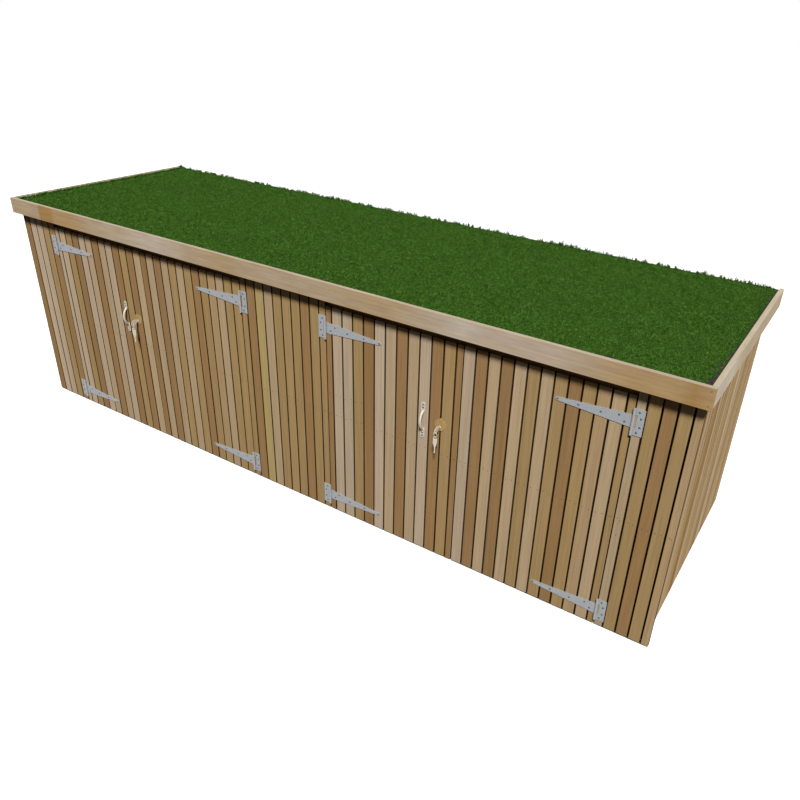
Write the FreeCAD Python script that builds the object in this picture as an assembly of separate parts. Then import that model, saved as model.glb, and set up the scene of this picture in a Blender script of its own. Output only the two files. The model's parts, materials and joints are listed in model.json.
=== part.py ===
import FreeCAD, Part
import os

# A low timber bike store with two bays. Each bay has a pair of batten-clad doors on T-hinges,
# and the roof is a planted tray that falls to the rear. Millimetres, +X along the front to the
# right, +Y to the rear, +Z up, with the origin on the ground under the middle of the roof.

# Front, from the left: a jamb, a pair of leaves, the centre panel, a pair of leaves and a jamb
left_jamb_width = 276.0
leaf_width = 695.0
centre_width = 509.0
right_jamb_width = 230.0
leaf_gap = 5.0

# Walls
wall_depth = 1198.5
cladding_lift = 10.0
side_setback = 21.0
batten_width = 48.0
batten_thickness = 20.0
batten_gap = 8.0
soffit_gap = 1.0
frame_size = 45.0
stop_overlap = 25.0
mid_rail_height = 55.0
mid_rail_centre = 568.0
rear_bays = 4
partition_thickness = 12.0

# Closing battens, ripped down to fill the edge of a panel
jamb_closing = 32.0
corner_closing = 29.0
leaf_closing = 27.0
wide_leaf_closing = 38.0

# Base
bearer_height = 70.0
floor_thickness = 18.0
joist_spaces = 6
anchor_hole_radius = 6.5
anchor_spacing_y = 600.0

# Roof
front_height = 1236.0
roof_overhang = 42.0
rear_overhang = 6.0
roof_fall = 0.0367
fascia_height = 84.5
fascia_thickness = 19.0
short_fascia_length = 252.0
turf_recess = 6.0
turf_thickness = 22.0
substrate_thickness = 20.0
membrane_thickness = 1.5
membrane_recess = 10.0
deck_thickness = 18.0
joist_height = 70.0
angle_thickness = 2.0
angle_recess = 14.0
angle_foot = 32.0
drain_slot_length = 40.0
drain_slot_height = 6.0
drain_slot_spacing = 300.0

# Door leaves
ledge_thickness = 22.0
ledge_height = 55.0
ledge_inset = 12.0
ledge_clearance = 4.0
brace_width = 55.0
head_gap = 42.5
upper_hinge_drop = 103.0
lower_hinge_height = 92.0

# T-hinges
plate_thickness = 2.5
strap_length = 300.0
strap_root = 54.0
strap_tip = 15.0
flap_width = 39.0
flap_height = 110.0
knuckle_radius = 5.5
knuckle_height = 56.0
knuckle_gap = 0.3
knuckle_clearance = 0.5
pin_radius = 3.0
pin_clearance = 0.05
strap_screws = ((30.0, -10.0), (53.0, 11.0), (121.0, 0.0), (208.0, 0.0), (291.0, 0.0))
flap_screws = ((18.0, 42.0), (27.0, 18.0), (27.0, -18.0), (18.0, -42.0))

# Screws
screw_head_radius = 4.2
screw_head_height = 2.2
screw_radius = 2.0
hinge_screw_length = 32.0
handle_screw_length = 16.0
screw_clearance = 0.3
pilot_clearance = 0.1

# Pull handles
handle_offset = 176.0
handle_height = 707.0
handle_length = 178.0
handle_reach = 30.0
handle_bar_radius = 5.5
foot_width = 20.0
foot_length = 50.0
foot_thickness = 3.0
foot_screw_spacing = 14.0
foot_screw_margin = 12.0
bow_overlap = 7.0

# Locks and keys
lock_backset = 89.0
lock_height = 703.0
disc_radius = 28.0
disc_rise = 8.0
disc_proud = 2.0
disc_clearance = 0.2
cylinder_radius = 10.0
cylinder_proud = 2.5
plug_radius = 6.0
plug_proud = 0.5
key_thickness = 2.2
key_neck_height = 9.0
key_bow_reach = 30.0
key_bow_drop = 3.0
key_bow_half_length = 21.0
key_bow_half_width = 14.0
key_bow_tilt = 25.0
key_eye_offset = 10.0
key_hole_radius = 4.5
ring_radius = 12.0
ring_wire = 1.1
ring_turn = -20.0
ring_clearance = 0.8
spare_turn = -50.0
spare_length = 84.0
spare_blade_height = 5.5
spare_bow_radius = 9.0
spare_bow_length = 34.0
spare_shoulder = 20.0
spare_hole_rise = 2.0
key_notch = 2.0
key_notches = 3
lock_block_height = 90.0
lock_block_width = 128.0
case_depth = 25.0
case_height = 70.0
case_wall = 2.5
case_inset = 4.0
case_behind_key = 30.0
deadbolt_throw = 21.0
deadbolt_thickness = 10.0
deadbolt_height = 16.0
deadbolt_clearance = 0.3
keep_wall = 4.0
keep_clearance = 1.0
keep_end_gap = 14.0

# Slide bolts of the leaves that have no lock
bolt_offset = 60.0
bolt_radius = 5.0
bolt_clearance = 0.1
bolt_throw = 20.0
bolt_end_gap = 4.0
bolt_tail = 5.0
bolt_plate_width = 40.0
bolt_plate_thickness = 2.0
guide_width = 18.0
guide_height = 10.0
guide_depth = 14.0
knob_radius = 4.0
knob_length = 18.0
knob_end_gap = 2.0
socket_radius = 7.5
socket_end_gap = 14.0

V = FreeCAD.Vector
along_y = V(0, 1, 0)
along_z = V(0, 0, 1)
os.makedirs("parts", exist_ok=True)

# Places that follow from the sizes above
front_width = left_jamb_width + centre_width + right_jamb_width + 4 * leaf_width + 6 * leaf_gap
front_end = front_width / 2
leaf_x = {"left_lock_door": left_jamb_width + leaf_gap - front_end}
leaf_x["left_bolt_door"] = leaf_x["left_lock_door"] + leaf_width + leaf_gap
centre_x = leaf_x["left_bolt_door"] + leaf_width + leaf_gap
leaf_x["right_lock_door"] = centre_x + centre_width + leaf_gap
leaf_x["right_bolt_door"] = leaf_x["right_lock_door"] + leaf_width + leaf_gap
right_jamb_x = leaf_x["right_bolt_door"] + leaf_width + leaf_gap

roof_half = front_end - side_setback + roof_overhang
roof_rear = (roof_overhang + wall_depth + rear_overhang) / 2
roof_front = -roof_rear
face_y = roof_front + roof_overhang
rear_face_y = face_y + wall_depth
frame_front = face_y + batten_thickness
frame_rear = rear_face_y - batten_thickness
inner_front = frame_front + frame_size
inner_rear = frame_rear - frame_size
frame_end = front_end - side_setback - batten_thickness
inner_end = frame_end - frame_size

substrate_top = turf_recess + turf_thickness
membrane_top = substrate_top + substrate_thickness
deck_top = membrane_top + membrane_thickness
soffit = deck_top + deck_thickness
joist_bottom = soffit + joist_height
leaf_top = front_height - fascia_height - head_gap
upper_hinge_height = leaf_top - upper_hinge_drop
head_bottom = leaf_top - stop_overlap
floor_joist_top = bearer_height - floor_thickness

pin_y = face_y - knuckle_radius - knuckle_clearance
ledge_back = frame_front + ledge_thickness
ledge_levels = {
    "bottom": (bearer_height + ledge_clearance, bearer_height + ledge_clearance + ledge_height),
    "middle": (mid_rail_centre - mid_rail_height / 2, mid_rail_centre + mid_rail_height / 2),
    "top": (upper_hinge_height - ledge_height / 2, upper_hinge_height + ledge_height / 2),
}
bolt_y = ledge_back + bolt_plate_thickness + guide_depth / 2
deadbolt_y = ledge_back + case_depth / 2
socket_depth = bolt_throw - bolt_end_gap + socket_end_gap
keep_pocket = deadbolt_throw - 2 * case_inset - leaf_gap + keep_end_gap


def block(x, y, z):
    """A square-cut piece between a pair of limits along each axis."""
    return Part.makeBox(x[1] - x[0], y[1] - y[0], z[1] - z[0], V(x[0], y[0], z[0]))


def around(centre, size):
    """The limits of a size that is centred on a place."""
    return (centre - size / 2, centre + size / 2)


def roof_line(y):
    """Height of the fascia's top edge at a depth."""
    return front_height - roof_fall * (y - roof_front)


def prism(corners, along):
    """A closed outline of corners pushed along a vector."""
    outline = Part.makePolygon(corners + corners[:1])
    return Part.Face(outline).extrude(along)


def under_roof(x, y, bottom, depth):
    """A piece with a level bottom, whose top follows the roof at a depth below the fascia's top."""
    low, high = y
    outline = [(low, bottom), (high, bottom), (high, roof_line(high) - depth), (low, roof_line(low) - depth)]
    corners = [V(x[0], across, up) for across, up in outline]
    return prism(corners, V(x[1] - x[0], 0, 0))


def roof_slab(x, y, top, bottom):
    """A layer between two depths below the fascia's top, which falls with the roof."""
    low, high = y
    outline = [(low, top), (high, top), (high, bottom), (low, bottom)]
    corners = [V(x[0], across, roof_line(across) - depth) for across, depth in outline]
    return prism(corners, V(x[1] - x[0], 0, 0))


def rod_y(radius, start, end, x, z):
    """A round piece along Y between two depths."""
    return Part.makeCylinder(radius, end - start, V(x, start, z), along_y)


def rod_z(radius, start, end, x, y):
    """A round piece along Z between two heights."""
    return Part.makeCylinder(radius, end - start, V(x, y, start), along_z)


def save(name, solids):
    """Write one node, as a group of its solids."""
    Part.makeCompound(solids).exportStep("parts/" + name + ".step")


def batten_limits(start, width, closing=(0.0, 0.0)):
    """Limits of each batten across a panel: full ones at an even gap, with closing ones at its edges."""
    ripped = [size for size in closing if size]
    spare = width - sum(ripped) - (len(ripped) - 1) * batten_gap
    count = max(1, round(spare / (batten_width + batten_gap)))
    full = (width - sum(ripped) - (count + len(ripped) - 1) * batten_gap) / count
    sizes = [closing[0]] * (closing[0] > 0) + [full] * count + [closing[1]] * (closing[1] > 0)
    limits = []
    for size in sizes:
        limits.append((start, start + size))
        start += size + batten_gap
    return limits


def drilled(solids, holes):
    """Solids with each hole cut from the ones that it meets."""
    result = []
    for solid in solids:
        for hole in holes:
            if solid.BoundBox.intersect(hole.BoundBox):
                solid = solid.cut(hole)
        result.append(solid)
    return result


def screw(x, z, seat, length):
    """A pan-head wood screw along Y, whose head bears on a face at the depth seat."""
    crown = screw_head_radius / 2
    head = Part.makeCone(screw_head_radius, crown, screw_head_height, V(x, seat, z), -along_y)
    return head.fuse(rod_y(screw_radius, seat, seat + length, x, z)).removeSplitter()


def screw_hole(x, z, seat, length, clearance):
    """The hole that such a screw needs."""
    return rod_y(screw_radius + clearance, seat, seat + length + clearance, x, z)


# Places of the hinges and of the screws through their flaps, which reach the post behind the battens
bolt_doors = ("left_bolt_door", "right_bolt_door")
lock_doors = ("left_lock_door", "right_lock_door")
hinges = []
for door in leaf_x:
    hand = 1 if door in lock_doors else -1
    edge = leaf_x[door] if hand > 0 else leaf_x[door] + leaf_width
    for height in (upper_hinge_height, lower_hinge_height):
        hinges.append((door, edge - hand * leaf_gap / 2, hand, height))
flap_screw_places = [
    (pin_x - hand * u, height + rise) for door, pin_x, hand, height in hinges for u, rise in flap_screws
]
flap_pilots = [
    screw_hole(x, z, face_y, hinge_screw_length, pilot_clearance) for x, z in flap_screw_places
]

# Base frame: bearers round the edge with the anchor holes in the end ones, and joists between
bolt_x = {door: leaf_x[door] + bolt_offset for door in bolt_doors}
depth = (inner_front, inner_rear)
joist_end = inner_end - frame_size / 2
joist_pitch = 2 * joist_end / joist_spaces
joist_places = [index * joist_pitch - joist_end for index in range(joist_spaces + 1)]

front_bearer = block((-frame_end, frame_end), (frame_front, inner_front), (0, bearer_height))
floor_sockets = [
    rod_z(socket_radius, bearer_height - socket_depth, bearer_height, bolt_x[door], bolt_y)
    for door in bolt_doors
]
base = drilled([front_bearer], floor_sockets + flap_pilots)
base.append(block((-frame_end, frame_end), (inner_rear, frame_rear), (0, bearer_height)))
for side in (-1, 1):
    middle = side * (frame_end - frame_size / 2)
    bearer = block(around(middle, frame_size), depth, (0, bearer_height))
    holes = [
        rod_z(anchor_hole_radius, 0, bearer_height, middle, end * anchor_spacing_y / 2) for end in (-1, 1)
    ]
    base += drilled([bearer], holes)
for place in joist_places:
    base.append(block(around(place, frame_size), depth, (0, floor_joist_top)))
save("base_frame", base)

half_partition = partition_thickness / 2
floor_level = (floor_joist_top, bearer_height)
left_floor = block((-inner_end, -half_partition), depth, floor_level)
right_floor = block((half_partition, inner_end), depth, floor_level)
save("floor_panels", [left_floor, right_floor])

# Posts: at the corners and beside each leaf in front, even along the rear, one half way down each side
corner_post = (inner_end, frame_end)
left_corner_post = (-frame_end, -inner_end)
centre_post = around(0.0, frame_size)
left_hinge_post = (leaf_x["left_lock_door"] - leaf_gap - frame_size, leaf_x["left_lock_door"] - leaf_gap)
centre_left_post = (centre_x, centre_x + frame_size)
centre_right_post = (centre_x + centre_width - frame_size, centre_x + centre_width)
right_hinge_post = (right_jamb_x, right_jamb_x + frame_size)
front_posts = [
    left_corner_post,
    left_hinge_post,
    centre_left_post,
    centre_post,
    centre_right_post,
    right_hinge_post,
    corner_post,
]
rear_pitch = 2 * (frame_end - frame_size / 2) / rear_bays
rear_posts = [
    around(index * rear_pitch - frame_end + frame_size / 2, frame_size) for index in range(rear_bays + 1)
]
side_post = around((inner_front + inner_rear) / 2, frame_size)
front_depth = (frame_front, inner_front)
rear_depth = (inner_rear, frame_rear)
posts = drilled([block(x, front_depth, (bearer_height, head_bottom)) for x in front_posts], flap_pilots)
posts += [under_roof(x, rear_depth, bearer_height, joist_bottom) for x in rear_posts]
posts += [under_roof(x, side_post, bearer_height, joist_bottom) for x in (left_corner_post, corner_post)]
save("wall_posts", posts)

# Middle rails between the posts, which the battens are nailed to
rail_level = around(mid_rail_centre, mid_rail_height)
railed_spans = [front_posts[0:2], front_posts[2:4], front_posts[3:5], front_posts[5:7]]
rails = [block((left[1], right[0]), front_depth, rail_level) for left, right in railed_spans]
rails += [
    block((left[1], right[0]), rear_depth, rail_level) for left, right in zip(rear_posts, rear_posts[1:])
]
for x in (left_corner_post, corner_post):
    rails.append(block(x, (inner_front, side_post[0]), rail_level))
    rails.append(block(x, (side_post[1], inner_rear), rail_level))
save("wall_rails", rails)

# Head rails round the top of the walls; the front one is the stop that the leaves close on
front_head = under_roof((-frame_end, frame_end), front_depth, head_bottom, soffit)
head_sockets = [
    rod_z(socket_radius, head_bottom, head_bottom + socket_depth, bolt_x[door], bolt_y) for door in bolt_doors
]
heads = drilled([front_head], head_sockets)
heads.append(roof_slab((-frame_end, frame_end), rear_depth, soffit, joist_bottom))
heads += [roof_slab(x, depth, soffit, joist_bottom) for x in (left_corner_post, corner_post)]
save("head_rails", heads)

save("partition_panel", [under_roof(around(0.0, partition_thickness), depth, floor_joist_top, joist_bottom)])


# T-hinges: u runs from the pin into the leaf, so that one outline serves both hands
def strap(pin_x, hand, height):
    """The tapered strap with its rounded tip and the middle knuckle."""
    root = strap_root / 2
    tip = strap_tip / 2
    seat = face_y - plate_thickness
    start = V(pin_x, face_y, height - root)
    lower = V(pin_x + hand * (strap_length - tip), face_y, height - tip)
    end = V(pin_x + hand * strap_length, face_y, height)
    upper = V(lower.x, face_y, height + tip)
    finish = V(pin_x, face_y, height + root)
    edges = [
        Part.makeLine(start, lower),
        Part.Arc(lower, end, upper).toShape(),
        Part.makeLine(upper, finish),
        Part.makeLine(finish, start),
    ]
    plate = Part.Face(Part.Wire(edges)).extrude(V(0, -plate_thickness, 0))
    low, high = around(height, knuckle_height)
    body = plate.fuse(rod_z(knuckle_radius, low, high, pin_x, pin_y))
    body = body.cut(rod_z(pin_radius + pin_clearance, low, high, pin_x, pin_y))
    for u, rise in strap_screws:
        hole = screw_hole(pin_x + hand * u, height + rise, seat, plate_thickness, screw_clearance)
        body = body.cut(hole)
    return body.removeSplitter()


def flap(pin_x, hand, height):
    """The flap on the jamb, with a knuckle above and below the strap's."""
    low, high = around(height, flap_height)
    inner_low, inner_high = around(height, knuckle_height + 2 * knuckle_gap)
    far = pin_x - hand * flap_width
    seat = face_y - plate_thickness
    plate = block(sorted((pin_x, far)), (seat, face_y), (low, high))
    lower = rod_z(knuckle_radius, low, inner_low, pin_x, pin_y)
    upper = rod_z(knuckle_radius, inner_high, high, pin_x, pin_y)
    reach = 2 * knuckle_radius + knuckle_clearance
    notch = block(around(pin_x, 2 * reach), around(pin_y, 2 * reach), (inner_low, inner_high))
    body = plate.cut(notch).fuse([lower, upper])
    body = body.cut(rod_z(pin_radius + pin_clearance, low, high, pin_x, pin_y))
    for u, rise in flap_screws:
        hole = screw_hole(pin_x - hand * u, height + rise, seat, plate_thickness, screw_clearance)
        body = body.cut(hole)
    return body.removeSplitter()


screw_seat = face_y - plate_thickness
save("hinge_flaps", [flap(pin_x, hand, height) for door, pin_x, hand, height in hinges])
save("flap_screws", [screw(x, z, screw_seat, hinge_screw_length) for x, z in flap_screw_places])
pins = [rod_z(pin_radius, *around(height, flap_height), pin_x, pin_y) for door, pin_x, hand, height in hinges]
save("hinge_pins", pins)

# Wall cladding: upright battens nailed over the rails, from just off the ground to the soffit
clad_depth = (face_y, frame_front)
front_panels = [
    batten_limits(-front_end, left_jamb_width),
    batten_limits(centre_x, centre_width, (jamb_closing, jamb_closing)),
    batten_limits(right_jamb_x, right_jamb_width, (jamb_closing, corner_closing)),
]
front_battens = [
    under_roof(x, clad_depth, cladding_lift, soffit + soffit_gap) for panel in front_panels for x in panel
]
save("front_battens", drilled(front_battens, flap_pilots))

side_face = front_end - side_setback
side_limits = batten_limits(frame_front, rear_face_y - frame_front)
side_battens = [
    under_roof(x, y, cladding_lift, soffit + soffit_gap)
    for x in ((-side_face, -frame_end), (frame_end, side_face))
    for y in side_limits
]
save("side_battens", side_battens)
rear_battens = [
    under_roof(x, (frame_rear, rear_face_y), cladding_lift, soffit + soffit_gap)
    for x in batten_limits(-frame_end, 2 * frame_end)
]
save("rear_battens", rear_battens)

# Roof: joists between the head rails, a deck, and the planted layers in the tray of the fascias
inner_joists = joist_places[1:-1]
roof_joists = [roof_slab(around(x, frame_size), depth, soffit, joist_bottom) for x in inner_joists]
save("roof_joists", roof_joists)

tray_end = roof_half - fascia_thickness
tray_front = roof_front + fascia_thickness
tray_rear = roof_rear - angle_thickness
tray_x = (-tray_end, tray_end)
tray_y = (tray_front, tray_rear)
save("roof_deck", [roof_slab(tray_x, tray_y, deck_top, soffit)])

joint_x = short_fascia_length - roof_half
fascia_depth = (roof_front, tray_front)
short_board = roof_slab((-roof_half, joint_x), fascia_depth, 0, fascia_height)
long_board = roof_slab((joint_x, roof_half), fascia_depth, 0, fascia_height)
save("front_fascia", [short_board, long_board])
fascia_run = (tray_front, roof_rear)
save("left_fascia", [roof_slab((-roof_half, -tray_end), fascia_run, 0, fascia_height)])
save("right_fascia", [roof_slab((tray_end, roof_half), fascia_run, 0, fascia_height)])

inside_x = (membrane_thickness - tray_end, tray_end - membrane_thickness)
inside_y = (tray_front + membrane_thickness, tray_rear)
liner = roof_slab(tray_x, tray_y, membrane_recess, deck_top)
save("roof_membrane", [liner.cut(roof_slab(inside_x, inside_y, 0, membrane_top))])

angle_leg = roof_slab(tray_x, (tray_rear, roof_rear), angle_recess, soffit)
foot_run = (tray_rear - angle_foot, tray_rear)
angle_base = roof_slab(inside_x, foot_run, membrane_top - angle_thickness, membrane_top)
angle = angle_leg.fuse(angle_base)
slot_count = int(2 * tray_end // drain_slot_spacing)
slot_depth = substrate_top + substrate_thickness / 2
for index in range(slot_count):
    middle = (index - (slot_count - 1) / 2) * drain_slot_spacing
    slot_limits = around(slot_depth, drain_slot_height)
    angle = angle.cut(roof_slab(around(middle, drain_slot_length), (tray_rear, roof_rear), *slot_limits))
angle = angle.removeSplitter()
save("rear_retaining_angle", [angle])
save("growing_substrate", [roof_slab(inside_x, inside_y, substrate_top, membrane_top).cut(angle_base)])
save("turf_mat", [roof_slab(inside_x, inside_y, turf_recess, substrate_top)])


def brace(low, high):
    """A diagonal between two ledges, from a low point near the hinges to a high point by the free edge."""
    run = brace_width if high[0] > low[0] else -brace_width
    outline = [low, (low[0] + run, low[1]), high, (high[0] - run, high[1])]
    corners = [V(x, frame_front, z) for x, z in outline]
    return prism(corners, V(0, ledge_thickness, 0))


def stadium(x, z, width, height, start, thickness):
    """A plate with round ends, upright on a face at the depth start and thick towards the front."""
    straight = around(z, height - width)
    middle = block(around(x, width), (start - thickness, start), straight)
    ends = [rod_y(width / 2, start - thickness, start, x, end) for end in straight]
    return middle.fuse(ends).removeSplitter()


def pull_handle(x, screws):
    """A bow of round bar between two screwed feet."""
    rise = (handle_length - foot_length) / 2
    top = handle_reach - handle_bar_radius
    feet = [
        stadium(x, handle_height + end * rise, foot_width, foot_length, face_y, foot_thickness)
        for end in (-1, 1)
    ]
    half_bow = handle_length / 2 - foot_length + bow_overlap
    start = V(x, face_y - foot_thickness / 2, handle_height - half_bow)
    crown = V(x, face_y - top, handle_height)
    end = V(x, face_y - foot_thickness / 2, handle_height + half_bow)
    path = Part.Arc(start, crown, end)
    tangent = path.tangent(path.FirstParameter)[0]
    section = Part.Wire(Part.makeCircle(handle_bar_radius, start, tangent))
    bow = Part.Wire(path.toShape()).makePipeShell([section], True, False)
    wood = (face_y, face_y + foot_width)
    behind = block(around(x, 2 * foot_width), wood, around(handle_height, handle_length))
    body = feet[0].fuse([feet[1], bow]).cut(behind)
    for place in screws:
        body = body.cut(screw_hole(*place, face_y - foot_thickness, foot_thickness, screw_clearance))
        body = body.cut(
            rod_y(screw_head_radius + screw_clearance, face_y - handle_reach, face_y - foot_thickness, *place)
        )
    return body.removeSplitter()


def key_blade(x, y, top, length):
    """The notched blade of a hanging key."""
    blade = block(around(x, key_thickness), around(y, spare_blade_height), (top - length, top))
    side = y + spare_blade_height / 2
    for index in range(key_notches):
        level = top - length + 3 * (index + 1) * key_notch
        cut = block(around(x, key_thickness), (side - key_notch, side), around(level, key_notch))
        blade = blade.cut(cut)
    return blade


def rod_x(radius, width, x, y, z):
    """A round piece along X, centred on a place."""
    return Part.makeCylinder(radius, width, V(x - width / 2, y, z), V(1, 0, 0))


# Door leaves, each clad with battens like the walls
leaf_closings = {
    "left_lock_door": (leaf_closing, 0.0),
    "left_bolt_door": (wide_leaf_closing, 0.0),
    "right_lock_door": (leaf_closing, leaf_closing),
    "right_bolt_door": (0.0, leaf_closing),
}
for door in leaf_x:
    hand = 1 if door in lock_doors else -1
    left = leaf_x[door]
    right = left + leaf_width
    bay = door.split("_")[0]
    battens = [
        block(x, clad_depth, (cladding_lift, leaf_top))
        for x in batten_limits(left, leaf_width, leaf_closings[door])
    ]
    leaf_hinges = [hinge for hinge in hinges if hinge[0] == door]
    save(door + "_hinge_straps", [strap(pin_x, side, height) for name, pin_x, side, height in leaf_hinges])
    strap_places = [
        (pin_x + side * u, height + rise)
        for name, pin_x, side, height in leaf_hinges
        for u, rise in strap_screws
    ]
    screws = [screw(x, z, screw_seat, hinge_screw_length) for x, z in strap_places]
    strap_pilots = [screw_hole(x, z, face_y, hinge_screw_length, pilot_clearance) for x, z in strap_places]
    holes = list(strap_pilots)

    # Ledges and braces nailed behind the battens; the strap's screws reach the ledges
    ledge_run = (left + ledge_inset, right - ledge_inset)
    ledge_depth = (frame_front, ledge_back)
    ledges = [block(ledge_run, ledge_depth, level) for level in ledge_levels.values()]
    hinge_side, free_side = ledge_run if hand > 0 else ledge_run[::-1]
    for below, above in (("bottom", "middle"), ("middle", "top")):
        ledges.append(brace((hinge_side, ledge_levels[below][1]), (free_side, ledge_levels[above][0])))

    free_edge = right if hand > 0 else left
    block_end = free_edge - hand * ledge_inset
    block_run = sorted((block_end, block_end - hand * lock_block_width))
    lock_block = block(block_run, ledge_depth, around(lock_height, lock_block_height))

    if door in lock_doors:
        # Pull handle
        handle_x = free_edge - handle_offset
        outer_rise = handle_length / 2 - foot_screw_margin
        handle_places = [
            (handle_x, handle_height + end * rise)
            for end in (-1, 1)
            for rise in (outer_rise, outer_rise - foot_screw_spacing)
        ]
        save(bay + "_pull_handle", [pull_handle(handle_x, handle_places)])
        foot_seat = face_y - foot_thickness
        screws += [screw(x, z, foot_seat, handle_screw_length) for x, z in handle_places]
        holes += [screw_hole(x, z, face_y, handle_screw_length, pilot_clearance) for x, z in handle_places]

        # Lock: a wooden disc let into the battens, a cylinder through its lower half and a case behind
        lock_x = free_edge - lock_backset
        case_edge = free_edge - case_inset
        disc_z = lock_height + disc_rise
        holes.append(rod_y(disc_radius + disc_clearance, face_y, frame_front, lock_x, disc_z))
        cylinder_bore = rod_y(
            cylinder_radius + disc_clearance, face_y - cylinder_proud, ledge_back, lock_x, lock_height
        )
        lock_block = lock_block.cut(cylinder_bore)
        disc = rod_y(disc_radius, face_y - disc_proud, frame_front, lock_x, disc_z)
        save(bay + "_lock_disc", [disc.cut(cylinder_bore)])
        plug_front = face_y - cylinder_proud - plug_proud
        plug_bore = rod_y(
            plug_radius + pin_clearance, plug_front, ledge_back + case_wall, lock_x, lock_height
        )
        cylinder = rod_y(cylinder_radius, face_y - cylinder_proud, ledge_back, lock_x, lock_height)
        case_run = (lock_x - case_behind_key, case_edge)
        case_back = ledge_back + case_depth
        case = block(case_run, (ledge_back, case_back), around(lock_height, case_height))
        cavity = block(
            (case_run[0] + case_wall, case_run[1] - case_wall),
            (ledge_back + case_wall, case_back - case_wall),
            around(lock_height, case_height - 2 * case_wall),
        )
        passage = block(
            (case_edge - 2 * case_wall, case_edge),
            around(deadbolt_y, deadbolt_thickness + 2 * deadbolt_clearance),
            around(lock_height, deadbolt_height + 2 * deadbolt_clearance),
        )
        save(bay + "_rim_lock", [cylinder.cut(plug_bore), case.cut(cavity).cut(passage).cut(plug_bore)])
        deadbolt = block(
            (lock_x + plug_radius + case_wall, case_edge),
            around(deadbolt_y, deadbolt_thickness),
            around(lock_height, deadbolt_height),
        )
        save(bay + "_deadbolt", [deadbolt])

        # Key in the lock, with the plug that it turns; its oval bow droops away from the leaf
        plug = rod_y(plug_radius, plug_front, ledge_back + case_wall, lock_x, lock_height)
        bow_middle = V(lock_x - key_thickness / 2, face_y - key_bow_reach, lock_height - key_bow_drop)
        droop = FreeCAD.Rotation(V(1, 0, 0), key_bow_tilt)
        outward = droop.multVec(-along_y)
        bow_end = bow_middle + outward * key_bow_half_length
        bow_side = bow_middle + droop.multVec(along_z) * key_bow_half_width
        oval = Part.Ellipse(bow_end, bow_side, bow_middle)
        bow = Part.Face(Part.Wire(oval.toShape())).extrude(V(key_thickness, 0, 0))
        neck = block(
            around(lock_x, key_thickness), (bow_middle.y, plug_front), around(lock_height, key_neck_height)
        )
        eye = bow_middle + outward * key_eye_offset
        eye_hole = rod_x(key_hole_radius, key_thickness, lock_x, eye.y, eye.z)
        save(bay + "_key", [plug, neck.fuse(bow).cut(eye_hole).removeSplitter()])

        # Ring through the key's eye, and the second key that hangs on it; its bow tapers to the blade
        hang = key_hole_radius - ring_wire - ring_clearance
        ring_middle = V(lock_x, eye.y, eye.z - hang - ring_radius)
        ring = Part.makeTorus(ring_radius, ring_wire, ring_middle, along_y)
        ring.rotate(ring_middle, along_z, ring_turn)
        save(bay + "_key_ring", [ring])
        spare_eye = ring_middle - along_z * (ring_radius + hang)
        upper_z = spare_eye.z - spare_hole_rise
        spare_top = upper_z + spare_bow_radius
        shoulder_z = spare_top - spare_bow_length
        neck_z = shoulder_z - spare_shoulder
        half_blade = spare_blade_height / 2
        outline = [
            (-spare_bow_radius, upper_z),
            (-spare_bow_radius, shoulder_z),
            (-half_blade, neck_z),
            (half_blade, neck_z),
            (spare_bow_radius, shoulder_z),
            (spare_bow_radius, upper_z),
        ]
        corners = [V(lock_x - key_thickness / 2, eye.y + across, up) for across, up in outline]
        bow_plate = prism(corners, V(key_thickness, 0, 0))
        round_top = rod_x(spare_bow_radius, key_thickness, lock_x, eye.y, upper_z)
        blade = key_blade(lock_x, eye.y, neck_z, spare_length - spare_bow_length - spare_shoulder)
        spare = bow_plate.fuse([round_top, blade])
        spare_hole = rod_x(key_hole_radius, key_thickness, lock_x, eye.y, spare_eye.z)
        spare = spare.cut(spare_hole).removeSplitter()
        spare.rotate(spare_eye, along_z, spare_turn)
        save(bay + "_spare_key", [spare])
    else:
        # Keep that the deadbolt of the other leaf enters
        keep_run = (left + case_inset, left + case_inset + keep_pocket + keep_wall)
        pocket = 2 * keep_clearance
        keep_back = deadbolt_y + deadbolt_thickness / 2 + keep_clearance + keep_wall
        keep_level = around(lock_height, deadbolt_height + pocket + 2 * keep_wall)
        keep = block(keep_run, (ledge_back, keep_back), keep_level)
        mouth = block(
            (keep_run[0], keep_run[1] - keep_wall),
            around(deadbolt_y, deadbolt_thickness + pocket),
            around(lock_height, deadbolt_height + pocket),
        )
        save(bay + "_lock_keep", [keep.cut(mouth)])

        # Slide bolts at the top and the bottom: a plate on the ledge with two guides, and a rod with a knob
        x = bolt_x[door]
        plate_back = ledge_back + bolt_plate_thickness
        plates = []
        for place, end in (("top", 1), ("bottom", -1)):
            low, high = ledge_levels[place]
            plate = block(around(x, bolt_plate_width), (ledge_back, plate_back), (low, high))
            guides = [
                block(around(x, guide_width), (plate_back, plate_back + guide_depth), level)
                for level in ((low, low + guide_height), (high - guide_height, high))
            ]
            bore = rod_z(bolt_radius + bolt_clearance, low, high, x, bolt_y)
            plates.append(plate.fuse(guides).cut(bore).removeSplitter())
            if end > 0:
                tip = head_bottom - bolt_end_gap
                rod = rod_z(bolt_radius, low - bolt_tail, tip, x, bolt_y)
                knob_z = low + guide_height + knob_radius + knob_end_gap
            else:
                tip = bearer_height + bolt_end_gap
                rod = rod_z(bolt_radius, tip, high + bolt_tail, x, bolt_y)
                knob_z = high - guide_height - knob_radius - knob_end_gap
            knob = rod_y(knob_radius, bolt_y, bolt_y + knob_length, x, knob_z)
            save(bay + "_" + place + "_bolt", [rod.fuse(knob).removeSplitter()])
        save(bay + "_bolt_plates", plates)

    ledges.append(lock_block)
    save(door + "_ledges", drilled(ledges, strap_pilots))
    save(door + "_battens", drilled(battens, holes))
    save(door + "_screws", screws)
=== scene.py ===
import json
import math
import random

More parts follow.
